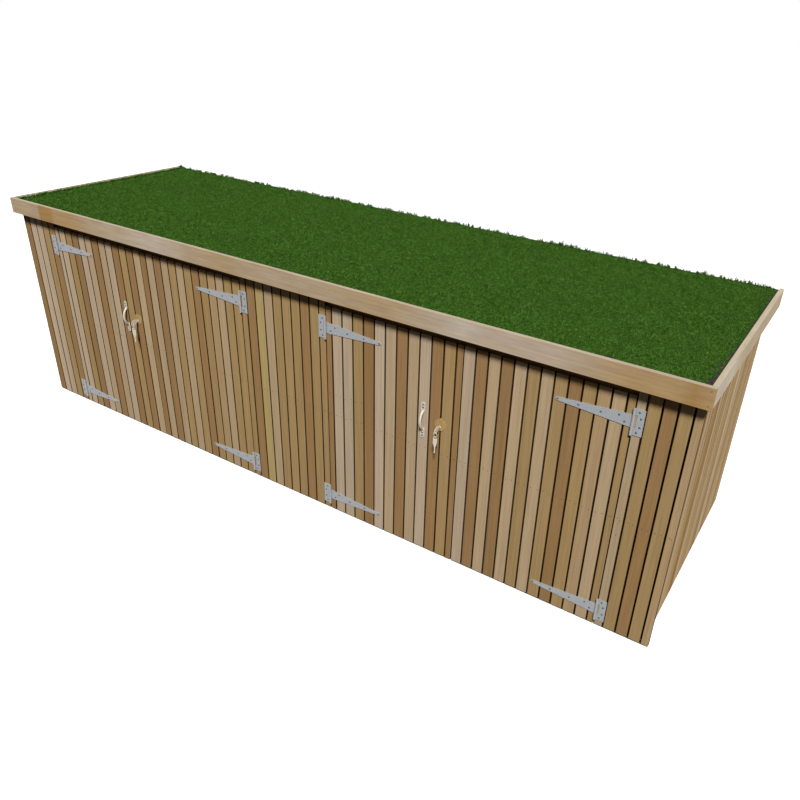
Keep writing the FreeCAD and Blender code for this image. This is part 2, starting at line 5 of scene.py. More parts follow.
import bmesh
import bpy
from mathutils import Matrix, Vector, noise

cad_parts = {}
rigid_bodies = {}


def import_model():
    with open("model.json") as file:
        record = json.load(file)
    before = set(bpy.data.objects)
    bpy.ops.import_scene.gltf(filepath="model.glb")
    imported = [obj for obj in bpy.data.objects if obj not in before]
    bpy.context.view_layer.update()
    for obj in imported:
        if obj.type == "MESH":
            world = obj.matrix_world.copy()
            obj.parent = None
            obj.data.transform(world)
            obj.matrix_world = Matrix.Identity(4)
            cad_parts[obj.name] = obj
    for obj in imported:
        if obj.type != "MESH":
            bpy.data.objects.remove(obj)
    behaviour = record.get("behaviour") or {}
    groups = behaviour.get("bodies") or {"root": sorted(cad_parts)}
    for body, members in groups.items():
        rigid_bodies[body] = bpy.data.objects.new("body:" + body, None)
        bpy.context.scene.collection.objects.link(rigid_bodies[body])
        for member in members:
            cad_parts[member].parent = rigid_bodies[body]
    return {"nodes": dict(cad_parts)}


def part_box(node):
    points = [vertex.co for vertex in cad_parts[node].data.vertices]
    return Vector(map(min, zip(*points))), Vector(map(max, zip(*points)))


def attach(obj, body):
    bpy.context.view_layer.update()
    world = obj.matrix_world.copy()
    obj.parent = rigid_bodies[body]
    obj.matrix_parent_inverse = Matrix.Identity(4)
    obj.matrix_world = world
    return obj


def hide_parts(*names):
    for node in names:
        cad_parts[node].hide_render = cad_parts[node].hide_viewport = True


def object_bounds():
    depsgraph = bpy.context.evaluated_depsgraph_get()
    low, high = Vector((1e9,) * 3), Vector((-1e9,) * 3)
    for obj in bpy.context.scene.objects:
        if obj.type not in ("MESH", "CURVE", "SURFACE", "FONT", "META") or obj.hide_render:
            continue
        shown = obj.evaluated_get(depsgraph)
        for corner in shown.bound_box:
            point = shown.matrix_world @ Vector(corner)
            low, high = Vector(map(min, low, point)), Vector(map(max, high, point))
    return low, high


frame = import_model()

cad_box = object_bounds()

# Ground frame and floor.
# Bearers and joists of sawn, pressure-treated softwood lie on the ground, screwed at their ends,
# and carry loose sheets of film-faced plywood as the floor of the bays.


def linear(colour):
    """An sRGB hex colour as linear values, with full alpha."""
    parts = [int(colour[k:k + 2], 16) / 255 for k in (1, 3, 5)]
    parts = [c / 12.92 if c <= 0.04045 else ((c + 0.055) / 1.055) ** 2.4 for c in parts]
    return (*parts, 1.0)


def add(tree, kind, inputs=None, **settings):
    """Adds a node with its settings, and sets or links its inputs."""
    made = tree.nodes.new(kind)
    for name, value in settings.items():
        setattr(made, name, value)
    for name, value in (inputs or {}).items():
        if isinstance(value, bpy.types.NodeSocket):
            tree.links.new(value, made.inputs[name])
        else:
            made.inputs[name].default_value = value
    return made


def timber(name, ring_mm, ring_share, streak_mm, roughness, dark, light, knots, streak_run=0.02):
    """Sawn or planed wood, with growth rings, streaks, fibres and pin knots drawn out along the board.

    The place within the board and its tone come from the piece's own attributes. A run is the share to
    which a pattern's scale is cut along the board.
    """
    material = bpy.data.materials.new(name)
    material.use_nodes = True
    tree = material.node_tree
    place = add(tree, "ShaderNodeAttribute", attribute_name="grain").outputs["Vector"]
    tone = add(tree, "ShaderNodeAttribute", attribute_name="tone").outputs["Color"]
    ring_run, fibre_run, cast_run, knot_run = 0.06, 0.012, 0.03, 0.35
    along = {run: add(tree, "ShaderNodeMapping", {"Vector": place, "Scale": (1, 1, run)}).outputs[0]
             for run in (ring_run, streak_run, fibre_run, cast_run, knot_run)}
    # A wave texture of scale 1 repeats every 314 mm.
    wave_mm, fibre_mm, cast_mm, knot_cell_mm = 314, 1.6, 24, 1000 / 9
    rings = add(tree, "ShaderNodeTexWave", {
        "Vector": along[ring_run], "Scale": wave_mm / ring_mm, "Distortion": 5.0, "Detail": 2.0,
        "Detail Scale": 0.25}, wave_type="RINGS", rings_direction="Z", wave_profile="SAW").outputs["Fac"]
    streaks = add(tree, "ShaderNodeTexNoise", {
        "Vector": along[streak_run], "Scale": 1000 / streak_mm, "Detail": 3.0,
        "Roughness": 0.6}).outputs["Fac"]
    fibres = add(tree, "ShaderNodeTexNoise", {
        "Vector": along[fibre_run], "Scale": 1000 / fibre_mm, "Detail": 1.0}).outputs["Fac"]
    figure = add(tree, "ShaderNodeMath", {0: rings, 1: ring_share}, operation="MULTIPLY").outputs[0]
    for pattern, share in ((streaks, 1.0 - ring_share), (fibres, 0.35)):
        figure = add(tree, "ShaderNodeMath", {0: pattern, 1: share, 2: figure},
                     operation="MULTIPLY_ADD").outputs[0]
    shade = add(tree, "ShaderNodeMapRange", {0: figure, 1: 0.35, 2: 1.0}).outputs[0]
    dark_wood, light_wood = (add(tree, "ShaderNodeMix", {0: 1.0, 6: tone, 7: (*tint, 1)}, data_type="RGBA",
                                 blend_type="MULTIPLY").outputs[2] for tint in (dark, light))
    colour = add(tree, "ShaderNodeMix", {0: shade, 6: dark_wood, 7: light_wood},
                 data_type="RGBA").outputs[2]
    # Broad streaks shift the hue a little, from cool to warm.
    cast = add(tree, "ShaderNodeTexNoise", {
        "Vector": along[cast_run], "Scale": 1000 / cast_mm, "Detail": 1.0}).outputs["Fac"]
    cool, warm = (0.94, 0.96, 1.08, 1), (1.06, 1.04, 0.9, 1)
    cast = add(tree, "ShaderNodeMix", {0: cast, 6: cool, 7: warm}, data_type="RGBA").outputs[2]
    colour = add(tree, "ShaderNodeMix", {0: 1.0, 6: colour, 7: cast}, data_type="RGBA",
                 blend_type="MULTIPLY").outputs[2]
    # Pin knots are a few millimetres across, about one to a board length.
    spots = add(tree, "ShaderNodeTexVoronoi", {
        "Vector": along[knot_run], "Scale": 1000 / knot_cell_mm}).outputs["Distance"]
    knot = add(tree, "ShaderNodeMapRange", {
        0: spots, 1: 0.02 * knots, 2: 0.05 * knots, 3: 0.75, 4: 0.0}).outputs[0]
    colour = add(tree, "ShaderNodeMix", {0: knot, 6: colour, 7: linear("#4A2E18")},
                 data_type="RGBA").outputs[2]
    rough = add(tree, "ShaderNodeMapRange", {0: shade, 3: roughness + 0.1, 4: roughness - 0.06}).outputs[0]
    raised = add(tree, "ShaderNodeBump", {
        "Height": figure, "Strength": 0.35, "Distance": 0.0006}).outputs[0]
    shader = tree.nodes["Principled BSDF"]
    shader.inputs["Specular IOR Level"].default_value = 0.0
    tree.links.new(colour, shader.inputs["Base Color"])
    tree.links.new(rough, shader.inputs["Roughness"])
    tree.links.new(raised, shader.inputs["Normal"])
    return material


def solids(name):
    """The closed solids of a CAD node as lists of its triangles' corners, in the order they are stored."""
    mesh = frame["nodes"][name].data
    unmet, corners = set(), []
    for polygon in mesh.polygons:
        triangle = [tuple(mesh.vertices[k].co) for k in polygon.vertices]
        corners.append(triangle)
        for edge in zip(triangle, triangle[1:] + triangle[:1]):
            if edge[::-1] in unmet:
                unmet.remove(edge[::-1])
            else:
                unmet.add(edge)
        if not unmet:
            yield corners
            corners = []


def boards(name, ease, tones, seed, side_shade_share=1.0):
    """A copy of a node's boards with their long edges eased, each with its own tone and run of grain.

    The narrow sides of the boards, which face the gaps between them, are darkened by a given share and
    turned red brown: painted shade in the gaps. Boards with this painted shade are also a little darker
    towards the ground.
    """
    draw = random.Random(seed)
    shortest_arris, foot_shade = 0.012, 0.95
    joined = bmesh.new()
    for count, triangles in enumerate(solids(name)):
        board = bmesh.new()
        made = {}
        for triangle in triangles:
            for corner in triangle:
                if corner not in made:
                    made[corner] = board.verts.new(corner)
            board.faces.new([made[corner] for corner in triangle])
        bmesh.ops.dissolve_limit(board, angle_limit=math.radians(1), verts=board.verts, edges=board.edges)
        board.normal_update()
        low = Vector(min(v.co[k] for v in board.verts) for k in range(3))
        high = Vector(max(v.co[k] for v in board.verts) for k in range(3))
        # The grain runs along the longest side; the pith lies beside the board, as in a sawn plank.
        across_1, across_2, along = sorted(range(3), key=lambda k: (high - low)[k])
        arrises = [e for e in board.edges if e.calc_face_angle(0) > 0.5 and e.calc_length() > shortest_arris
                   and abs((e.verts[0].co - e.verts[1].co)[along]) > 0.9 * e.calc_length()]
        bmesh.ops.bevel(board, geom=arrises, offset=ease, offset_type="OFFSET", segments=2, profile=0.5,
                        affect="EDGES", clamp_overlap=True, material=-1)
        aside = draw.uniform(0.03, 0.12) * draw.choice((-1, 1))
        pith = Vector((aside, draw.uniform(0.02, 0.07), draw.uniform(0, 40)))
        lift = draw.uniform(0.95, 1.05)
        tone = linear(tones[count % len(tones)])
        grain = board.verts.layers.float_vector.new("grain")
        colour = board.loops.layers.float_color.new("tone")
        middle = (low + high) / 2
        for v in board.verts:
            here = v.co - middle
            v[grain] = Vector((here[across_2], here[across_1], here[along])) + pith
        board.normal_update()
        for face in board.faces:
            # Painted shade: the narrow sides, which face the gaps, are darkened to a share and reddened.
            side = side_shade_share if abs(face.normal[across_2]) > 0.9 else 1.0
            side_shade_tint = (1.0, side ** 0.1, side ** 0.25)
            for loop in face.loops:
                # Boards with darkened sides are also a little darker towards the ground.
                foot_darkening = foot_shade + (1 - foot_shade) * loop.vert.co.z if side_shade_share < 1 else 1.0
                share = lift * side * foot_darkening
                loop[colour] = (*(t * share * c for t, c in zip(tone, side_shade_tint)), 1)
        mesh = bpy.data.meshes.new("board")
        board.to_mesh(mesh)
        board.free()
        joined.from_mesh(mesh)
        bpy.data.meshes.remove(mesh)
    return joined


def finished(name, shape, material):
    """A mesh object of this shape, placed at the origin."""
    mesh = bpy.data.meshes.new(name)
    shape.to_mesh(mesh)
    shape.free()
    mesh.materials.append(material)
    made = bpy.data.objects.new(name, mesh)
    bpy.context.scene.collection.objects.link(made)
    return made


# Pressure-treated pine: sawn faces, wide growth rings, a few knots, greenish tan.
treated_pine = timber("treated sawn pine", ring_mm=6, ring_share=0.4, streak_mm=14, roughness=0.75,
                      dark=(0.62, 0.58, 0.5), light=(1.12, 1.12, 1.1), knots=1.0)
sawn_arris = 0.002
treated_tones = ["#8F8460", "#968A68", "#897C58"]
bearers = finished("ground_bearers", boards("base_frame", sawn_arris, treated_tones, 11), treated_pine)
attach(bearers, "carcass")
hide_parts("base_frame")


def mottled(name, patch_mm, detail, dark, light, roughness, metallic=0.0):
    """A surface in soft patches of this size between two colours, with a roughness for each."""
    material = bpy.data.materials.new(name)
    material.use_nodes = True
    tree = material.node_tree
    place = add(tree, "ShaderNodeTexCoord").outputs["Object"]
    patches = add(tree, "ShaderNodeTexNoise", {
        "Vector": place, "Scale": 1000 / patch_mm, "Detail": detail}).outputs["Fac"]
    colour = add(tree, "ShaderNodeMix", {0: patches, 6: linear(dark), 7: linear(light)},
                 data_type="RGBA").outputs[2]
    rough = add(tree, "ShaderNodeMapRange", {0: patches, 3: roughness[0], 4: roughness[1]}).outputs[0]
    shader = tree.nodes["Principled BSDF"]
    shader.inputs["Metallic"].default_value = metallic
    tree.links.new(colour, shader.inputs["Base Color"])
    tree.links.new(rough, shader.inputs["Roughness"])
    return material


def dress(nodes, material):
    """Gives CAD nodes this finish all over."""
    for node in nodes:
        for slot in frame["nodes"][node].material_slots:
            slot.material = material


# Film-faced plywood: dark brown resin film pressed with a fine mesh for grip, scuffed dull.
film_faced = mottled("film faced plywood", patch_mm=45, detail=5.0, dark="#231B15", light="#372C24",
                     roughness=(0.5, 0.75))
tree = film_faced.node_tree
mesh_mm = 2.4
place = add(tree, "ShaderNodeTexCoord").outputs["Object"]
cells = add(tree, "ShaderNodeTexVoronoi", {"Vector": place, "Scale": 1000 / mesh_mm, "Randomness": 0.0},
            distance="CHEBYCHEV").outputs["Distance"]
pressed = add(tree, "ShaderNodeBump", {"Height": cells, "Strength": 0.4, "Distance": 0.0004}).outputs[0]
tree.links.new(pressed, tree.nodes["Principled BSDF"].inputs["Normal"])
dress(["floor_panels"], film_faced)

# Wall framing.
# Posts, mid rails and head rails of planed softwood, screwed together, and the roof joists that lie
# between the head rails. One plywood panel across the middle parts the two bays.

# Planed redwood: straight grain, warm tan, slightly darker than the cladding over it.
planed_pine = timber("planed softwood", ring_mm=4, ring_share=0.35, streak_mm=9, roughness=0.65,
                     dark=(0.66, 0.58, 0.48), light=(1.1, 1.1, 1.08), knots=0.7)
pine_tones = ["#A88A5C", "#A08257", "#AE9166"]
for node, seed in (("wall_posts", 21), ("wall_rails", 22), ("head_rails", 23), ("roof_joists", 24)):
    framing = finished("frame_" + node, boards(node, sawn_arris, pine_tones, seed), planed_pine)
    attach(framing, "carcass")
    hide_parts(node)

# Exterior plywood: peeled veneer with broad wandering figure, sanded and left bare.
plywood = timber("exterior plywood", ring_mm=22, ring_share=0.55, streak_mm=40, roughness=0.7,
                 dark=(0.75, 0.68, 0.58), light=(1.08, 1.08, 1.06), knots=0.6)
veneer = ["#B0925F"]
sheet_arris = 0.001
partition = finished("bay_partition", boards("partition_panel", sheet_arris, veneer, 25), plywood)
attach(partition, "carcass")
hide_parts("partition_panel")

# Wall membrane.
# Black breather membrane is stapled over the frame at the back and both ends, behind the battens; its
# black is also painted shade, standing in for the dark inside seen through the gaps. Strips of the same
# black sheet lie under the ends of the battens, also on the leaves: painted shade that keeps the gaps dark
# down to their ends.

# Breather membrane: black spunbonded film with a faint felted surface. Its near-black is partly painted
# shade for the gaps between the battens.
membrane_and_gap_shade = mottled("black membrane and painted gap shade", patch_mm=3, detail=3.0, dark="#0E0D0C", light="#1B1917",
                   roughness=(0.85, 0.95))
side_low, side_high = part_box("side_battens")
rear_low, rear_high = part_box("rear_battens")
roof_fall = -0.0367
sheet_thickness, batten_thickness = 0.0006, 0.02
front_hem, top_hem, foot_hem = 0.01, 0.003, 0.004
inner_end = side_high.x - batten_thickness
end_depth = (side_low.y + front_hem, rear_low.y)
for name, x, y in (("left_wall_membrane", (-inner_end, -inner_end), end_depth),
                   ("right_wall_membrane", (inner_end, inner_end), end_depth),
                   ("rear_wall_membrane", (-inner_end, inner_end), (rear_low.y, rear_low.y))):
    sheet = bmesh.new()
    bmesh.ops.create_cube(sheet, size=1)
    for v in sheet.verts:
        along_x, along_y, up = (c + 0.5 for c in v.co)
        v.co.x = x[0] + (x[1] - x[0]) * along_x + (along_x - 0.5) * sheet_thickness
        v.co.y = y[0] + (y[1] - y[0]) * along_y + (along_y - 0.5) * sheet_thickness
        top = side_high.z + roof_fall * (v.co.y - side_low.y) - top_hem
        v.co.z = top if up > 0.5 else side_low.z + foot_hem
    membrane_sheet = finished(name, sheet, membrane_and_gap_shade)
    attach(membrane_sheet, "carcass")

leaves = ("left_lock_door", "left_bolt_door", "right_lock_door", "right_bolt_door")
battened = [("front_battens", "carcass"), ("side_battens", "carcass")]
battened += [(leaf + "_battens", leaf) for leaf in leaves]
widest_gap, strip_drop, strip_inset = 0.012, 0.0005, 0.001
for node, body in battened:
    # Painted shade: one black strip under each run of battens, a millimetre back from their faces, so that
    # the gaps stay dark to their ends.
    along = 1 if node == "side_battens" else 0
    runs = []
    for triangles in solids(node):
        low = [min(corner[k] for triangle in triangles for corner in triangle) for k in range(3)]
        high = [max(corner[k] for triangle in triangles for corner in triangle) for k in range(3)]
        if runs and 0 < low[along] - runs[-1][1][along] < widest_gap:
            runs[-1][1][along] = high[along]
        else:
            runs.append((low, high))
    painted_shade_strips = bmesh.new()
    for low, high in runs:
        middle = Matrix.Translation(((low[0] + high[0]) / 2, (low[1] + high[1]) / 2, low[2] - strip_drop))
        reach = [high[k] - low[k] - 2 * strip_inset for k in (0, 1)]
        bmesh.ops.create_cube(painted_shade_strips, size=1,
                              matrix=middle @ Matrix.Diagonal((*reach, sheet_thickness, 1)))
    shade_strip_piece = finished(node.replace("_battens", "_folded_strip"), painted_shade_strips, membrane_and_gap_shade)
    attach(shade_strip_piece, body)

# Wall cladding.
# Upright battens of planed cedar with open gaps, each a different board out of the pack, pinned to
# the rails behind with small nails. Eased edges, no finish but a clear oil.

# Cedar: fine straight grain, boards from pale straw to brown, silky where planed.
cedar = timber("oiled cedar", ring_mm=3.2, ring_share=0.25, streak_mm=7, roughness=0.6,
               dark=(0.76, 0.72, 0.65), light=(1.19, 1.22, 1.26), knots=0.35)
grey, pale, sand, tan, brown, straw = "#B39F87", "#AE9778", "#A78C69", "#9F845B", "#92734E", "#AA9565"
pack_of_boards = {"G": grey, "P": pale, "S": sand, "T": tan, "B": brown, "Y": straw}
# The battens' narrow sides, which face the gaps, are darkened to this share as painted shade.
planed_arris, gap_side_shade = 0.0012, 0.18


def cladding(name, node, letters, seed):
    """The battens of a node, boarded in this order of tones out of the pack."""
    tones = [pack_of_boards[k] for k in letters]
    made = finished(name, boards(node, planed_arris, tones, seed, gap_side_shade), cedar)
    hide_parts(node)
    return made


left_end, middle_panel, right_end = "BGGTB", "TBYPTTTBTT", "PTBTS"
front_wall = cladding("front_wall_battens", "front_battens", left_end + middle_panel + right_end, 31)
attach(front_wall, "carcass")

# Nail heads: blackened steel with brown rust bleeding at the rim.
nail_steel = mottled("rusted nail steel", patch_mm=1.5, detail=2.0, dark="#33271D", light="#5C4530",
                     roughness=(0.5, 0.75), metallic=0.3)


def nails(name, places, outward):
    """Round nail heads driven flush at these places, facing outward."""
    foot_radius, crown_radius, height = 0.0024, 0.0018, 0.0014
    heads = bmesh.new()
    turned = Vector(outward).to_track_quat("Z", "Y").to_matrix().to_4x4()
    for place in places:
        bmesh.ops.create_cone(heads, cap_ends=True, segments=9, radius1=foot_radius, radius2=crown_radius,
                              depth=height, matrix=Matrix.Translation(place) @ turned)
    made = finished(name, heads, nail_steel)
    return made


def pairs(name, face, seed):
    """Two nail places to a batten at its middle rail, a little out of line as driven by hand."""
    hand = random.Random(seed)
    rail_level, edge_distance, off_line, off_level = 0.568, 0.011, 0.002, 0.006
    for triangles in solids(name):
        reach = [corner[0] for triangle in triangles for corner in triangle]
        middle, half = (min(reach) + max(reach)) / 2, (max(reach) - min(reach)) / 2 - edge_distance
        for side in (-half, half):
            x = middle + side + hand.uniform(-off_line, off_line)
            yield Vector((x, face, rail_level + hand.uniform(-off_level, off_level)))


front_face, rear_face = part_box("front_battens")[0].y, rear_high.y
to_front, to_rear = (0, -1, 0), (0, 1, 0)
for name, face, seed, outward in (("front", front_face, 35, to_front), ("rear", rear_face, 36, to_rear)):
    wall_nails = nails(name + "_wall_nails", pairs(name + "_battens", face, seed), outward)
    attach(wall_nails, "carcass")
side_wall = cladding("side_wall_battens", "side_battens", "PBTPSTBPSTPSTGPTSPTSP", 33)
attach(side_wall, "carcass")
rear_wall = cladding("rear_wall_battens", "rear_battens", "PTGBPSTPBGTSPTBPGTPSB", 34)
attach(rear_wall, "carcass")

# Doors.
# Four ledged leaves: the same cedar battens nailed to three softwood ledges and two braces. The
# leaves with a lock have a round hole for it bored through two battens.
leaf_tones = {
    "left_lock_door": "GGTBGPBPGBTBP",
    "left_bolt_door": "BPBPTPTBTSPTT",
    "right_lock_door": "BGGTBGPBPGBTB",
    "right_bolt_door": "GBPBPTPTBTSPT",
}
splice_rise, spliced_battens = 0.107, 4
for order, (leaf, letters) in enumerate(leaf_tones.items()):
    boarding = cladding(leaf + "_boarding", leaf + "_battens", letters, 41 + order)
    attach(boarding, leaf)
    driven = list(pairs(leaf + "_battens", front_face, 45 + order))
    if leaf == "right_lock_door":
        # The first battens of this leaf have a second pair where a short batten was spliced.
        driven += [place + Vector((0, 0, splice_rise)) for place in driven[:2 * spliced_battens]]
    leaf_nails = nails(leaf + "_nails", driven, to_front)
    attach(leaf_nails, leaf)
    ledges = finished(leaf + "_ledging", boards(leaf + "_ledges", sawn_arris, pine_tones, 51 + order),
                      planed_pine)
    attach(ledges, leaf)
    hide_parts(leaf + "_ledges")

# Roof deck and waterproofing.
# A plywood deck lies on the joists under a bonded rubber membrane, which turns up inside the fascia.
deck = finished("roof_deck_sheet", boards("roof_deck", sheet_arris, veneer, 61), plywood)
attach(deck, "carcass")
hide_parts("roof_deck")

# Rubber membrane: near-black, dull, faintly mottled by dust.
rubber = mottled("rubber roofing membrane", patch_mm=18, detail=4.0, dark="#1C1D1E", light="#2E2F30",
                 roughness=(0.6, 0.8))
dress(["roof_membrane"], rubber)

# Fascia.
# Wide planed boards stand round the roof on three sides and hold the planting back. The front one is
# pieced out at the left with a short length, butted, and nailed at the ends.

# Pale planed board: broad soft figure, greyer in places and warmer near the joint and the right end.
# The pale silver patches along the front board are painted sheen.
fascia_board = timber("planed fascia board", ring_mm=16, ring_share=0.12, streak_mm=20, roughness=0.6,
                      dark=(0.8, 0.76, 0.7), light=(1.15, 1.17, 1.2), knots=0.25, streak_run=0.14)
sheen_silver, grey_brown, warm = "#B8AB9B", "#B3A28E", "#AB977C"
tawny, honey, heart = "#AA9372", "#A98D66", "#A07F53"
front_run = ((-1.94, warm), (-1.6825, warm), (-1.6807, heart), (-1.575, heart), (-1.545, honey),
             (-1.4, honey), (-1.26, warm), (-0.74, sheen_silver), (-0.5, warm), (-0.3, tawny), (-0.1, warm),
             (0.35, warm), (0.6, tawny), (0.75, warm), (0.99, sheen_silver), (1.1, grey_brown),
             (1.38, grey_brown), (1.5, warm), (1.65, honey), (1.82, honey), (1.87, heart), (1.94, honey))
bleached, sound = "#BEB2A3", "#B3A38B"
end_run = ((-0.65, bleached), (-0.34, bleached), (-0.2, sound), (0.65, sound))
fascia_arris = 0.0015
for node, seed, axis, run, shaded_top_tone in (("front_fascia", 71, 0, front_run, "#9C9180"),
                                          ("left_fascia", 72, 1, end_run, "#7A6E5C"),
                                          ("right_fascia", 73, 1, end_run, "#A19783")):
    # Each board has one tone on its upper edge, darker than its faces as painted shade under the light from
    # above, and tones that change along its faces.
    shape = boards(node, fascia_arris, [shaded_top_tone], seed)
    tone_of = shape.loops.layers.float_color["tone"]
    along = Vector((0, 0, 0))
    along[axis] = 1
    for stop, _ in run[1:-1]:
        bmesh.ops.bisect_plane(shape, geom=shape.verts[:] + shape.edges[:] + shape.faces[:], dist=1e-6,
                               plane_co=stop * along, plane_no=along)
    shape.normal_update()
    for face in shape.faces:
        for loop in face.loops:
            here = loop.vert.co[axis]
            for (stop_0, tone_0), (stop_1, tone_1) in zip(run, run[1:]):
                if stop_0 <= here <= stop_1 and face.normal.z < 0.3:
                    share = (here - stop_0) / (stop_1 - stop_0)
                    loop[tone_of] = Vector(linear(tone_0)).lerp(Vector(linear(tone_1)), share)
    board = finished(node + "_board", shape, fascia_board)
    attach(board, "carcass")
    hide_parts(node)
right_pair = ((1.92, 1.222), (1.92, 1.166))
left_pair = ((-1.905, 1.22), (-1.905, 1.168))
joint_pair = ((-1.695, 1.218), (-1.667, 1.17))
fascia_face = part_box("front_fascia")[0].y
driven = [(x, fascia_face, z) for x, z in right_pair + left_pair + joint_pair]
fascia_nails = nails("front_fascia_nails", driven, to_front)
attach(fascia_nails, "carcass")

# Rear retaining angle.
# A folded galvanised angle, its foot held under the substrate, keeps the planting in at the low rear
# edge and lets the water out through slots.

# Hot-dip galvanised steel: dull neutral grey with a faint spangle.
galvanised = bpy.data.materials.new("galvanised steel")
galvanised.use_nodes = True
tree = galvanised.node_tree
place = add(tree, "ShaderNodeTexCoord").outputs["Object"]
spangle_mm = 5
spangle = add(tree, "ShaderNodeTexVoronoi", {"Vector": place, "Scale": 1000 / spangle_mm}).outputs["Color"]
flake = add(tree, "ShaderNodeSeparateColor", {0: spangle}).outputs[0]
zinc = add(tree, "ShaderNodeMix", {0: flake, 6: linear("#909396"), 7: linear("#989B9E")},
           data_type="RGBA").outputs[2]
dulled = add(tree, "ShaderNodeMapRange", {0: flake, 3: 0.5, 4: 0.6}).outputs[0]
shader = tree.nodes["Principled BSDF"]
shader.inputs["Metallic"].default_value = 0.25
tree.links.new(zinc, shader.inputs["Base Color"])
tree.links.new(dulled, shader.inputs["Roughness"])
dress(["rear_retaining_angle"], galvanised)

# Growing bed.
# Light substrate lies on the membrane under a turf mat: soil and thatch bound by roots, uneven on top
# and bare in a narrow strip where it has dried back from the boards.
bed_low, bed_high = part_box("turf_mat")
bed_size = bed_high - bed_low
bed_middle = [(bed_low[k] + bed_high[k]) / 2 for k in (0, 1)]
cell, skirt_rise = 0.012, 0.02
bed = bmesh.new()
across, deep = round(bed_size.x / cell), round(bed_size.y / cell)
bmesh.ops.create_grid(bed, x_segments=across, y_segments=deep, size=0.5)
bmesh.ops.scale(bed, vec=(bed_size.x, bed_size.y, 1), verts=bed.verts)
bmesh.ops.translate(bed, vec=(*bed_middle, 0), verts=bed.verts)


def lumps(x, y, size, layer):
    """Smooth noise between -1 and 1, with lumps of about this size."""
    return noise.noise(Vector((x / size, y / size, layer)))


def bed_top(x, y):
    """Height of the turf's surface: the fall of the roof, with lumps a few millimetres high."""
    lump_height, settled = 0.0022, 0.002
    lump = lumps(x, y, 0.05, 3.1) + 0.5 * lumps(x, y, 0.02, 7.7)
    return bed_high.z + roof_fall * (y - bed_low.y) + lump_height * lump - settled


def from_boards(x, y):
    """Distance from the front and right boards, less what has dried back: in bites, most in the corner."""
    corner_width, corner_run, right_hold, front_hold, bite_depth = 0.04, 0.12, 0.012, 0.006, 0.028
    bites = lumps(x, y, 0.04, 5.3) + 0.8 * lumps(x, y, 0.016, 8.6)
    dried = corner_width * math.exp(-(y - bed_low.y) / corner_run) - right_hold
    return min(bed_high.x - x - dried, y - bed_low.y + front_hold) + bite_depth * bites


for v in bed.verts:
    v.co.z = bed_top(v.co.x, v.co.y)
skirt = bmesh.ops.extrude_edge_only(bed, edges=[e for e in bed.edges if e.is_boundary])
for v in skirt["geom"]:
    if isinstance(v, bmesh.types.BMVert):
        v.co.z = bed_low.z + skirt_rise
bmesh.ops.recalc_face_normals(bed, faces=bed.faces)
bare = bed.verts.layers.float.new("bare")
bare_width = 0.022
for v in bed.verts:
    v[bare] = max(0.0, min(1.0, 1.2 - from_boards(v.co.x, v.co.y) / bare_width))

# Turf soil: dark crumbly loam with green thatch between the blades.
soil = bpy.data.materials.new("turf soil")
soil.use_nodes = True
tree = soil.node_tree
place = add(tree, "ShaderNodeTexCoord").outputs["Object"]
crumb_mm = 4
crumbs = add(tree, "ShaderNodeTexNoise", {
    "Vector": place, "Scale": 1000 / crumb_mm, "Detail": 3.0}).outputs["Fac"]
earth = add(tree, "ShaderNodeMix", {0: crumbs, 6: linear("#231E1E"), 7: linear("#453C3A")},
            data_type="RGBA").outputs[2]
thatch = add(tree, "ShaderNodeMix", {0: crumbs, 6: linear("#1F360F"), 7: linear("#2D4816")},
             data_type="RGBA").outputs[2]
bare_share = add(tree, "ShaderNodeAttribute", attribute_name="bare").outputs["Fac"]
ground_colour = add(tree, "ShaderNodeMix", {0: bare_share, 6: thatch, 7: earth},
                    data_type="RGBA").outputs[2]
dry = add(tree, "ShaderNodeMapRange", {0: crumbs, 3: 0.8, 4: 0.98}).outputs[0]
crumbly = add(tree, "ShaderNodeBump", {"Height": crumbs, "Strength": 0.6, "Distance": 0.003}).outputs[0]
shader = tree.nodes["Principled BSDF"]
shader.inputs["Specular IOR Level"].default_value = 0.0
tree.links.new(ground_colour, shader.inputs["Base Color"])
tree.links.new(dry, shader.inputs["Roughness"])
tree.links.new(crumbly, shader.inputs["Normal"])
turf_bed = finished("turf_bed", bed, soil)
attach(turf_bed, "carcass")
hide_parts("turf_mat")
dress(["growing_substrate"], soil)

# Grass.
# Short dense sward grown from the mat: small tufts of narrow blades, bent over by their own weight,
# thinner along the front and right boards, with ragged sprigs standing up along the open rear edge.

# Grass leaf: deep green, a little paler towards the tip, dull. The map's first axis picks the blade's
# shade and its second runs from root to tip.
grass_leaf = bpy.data.materials.new("grass leaf")
grass_leaf.use_nodes = True
tree = grass_leaf.node_tree
leaf_map = "OFBake"
placed = add(tree, "ShaderNodeUVMap", uv_map=leaf_map).outputs[0]
picked, height = add(tree, "ShaderNodeSeparateXYZ", {0: placed}).outputs[:2]
leaf_shade = add(tree, "ShaderNodeMix", {0: picked, 6: linear("#305117"), 7: linear("#46682C")},
                 data_type="RGBA").outputs[2]
tip_light = add(tree, "ShaderNodeMix", {0: height, 6: linear("#E4E6D8"), 7: linear("#FFFFF4")},
                data_type="RGBA").outputs[2]
green = add(tree, "ShaderNodeMix", {0: 1.0, 6: leaf_shade, 7: tip_light}, data_type="RGBA",
            blend_type="MULTIPLY").outputs[2]
waxy = add(tree, "ShaderNodeMapRange", {0: height, 3: 0.85, 4: 0.7}).outputs[0]
shader = tree.nodes["Principled BSDF"]
shader.inputs["Specular IOR Level"].default_value = 0.0
tree.links.new(green, shader.inputs["Base Color"])
tree.links.new(waxy, shader.inputs["Roughness"])


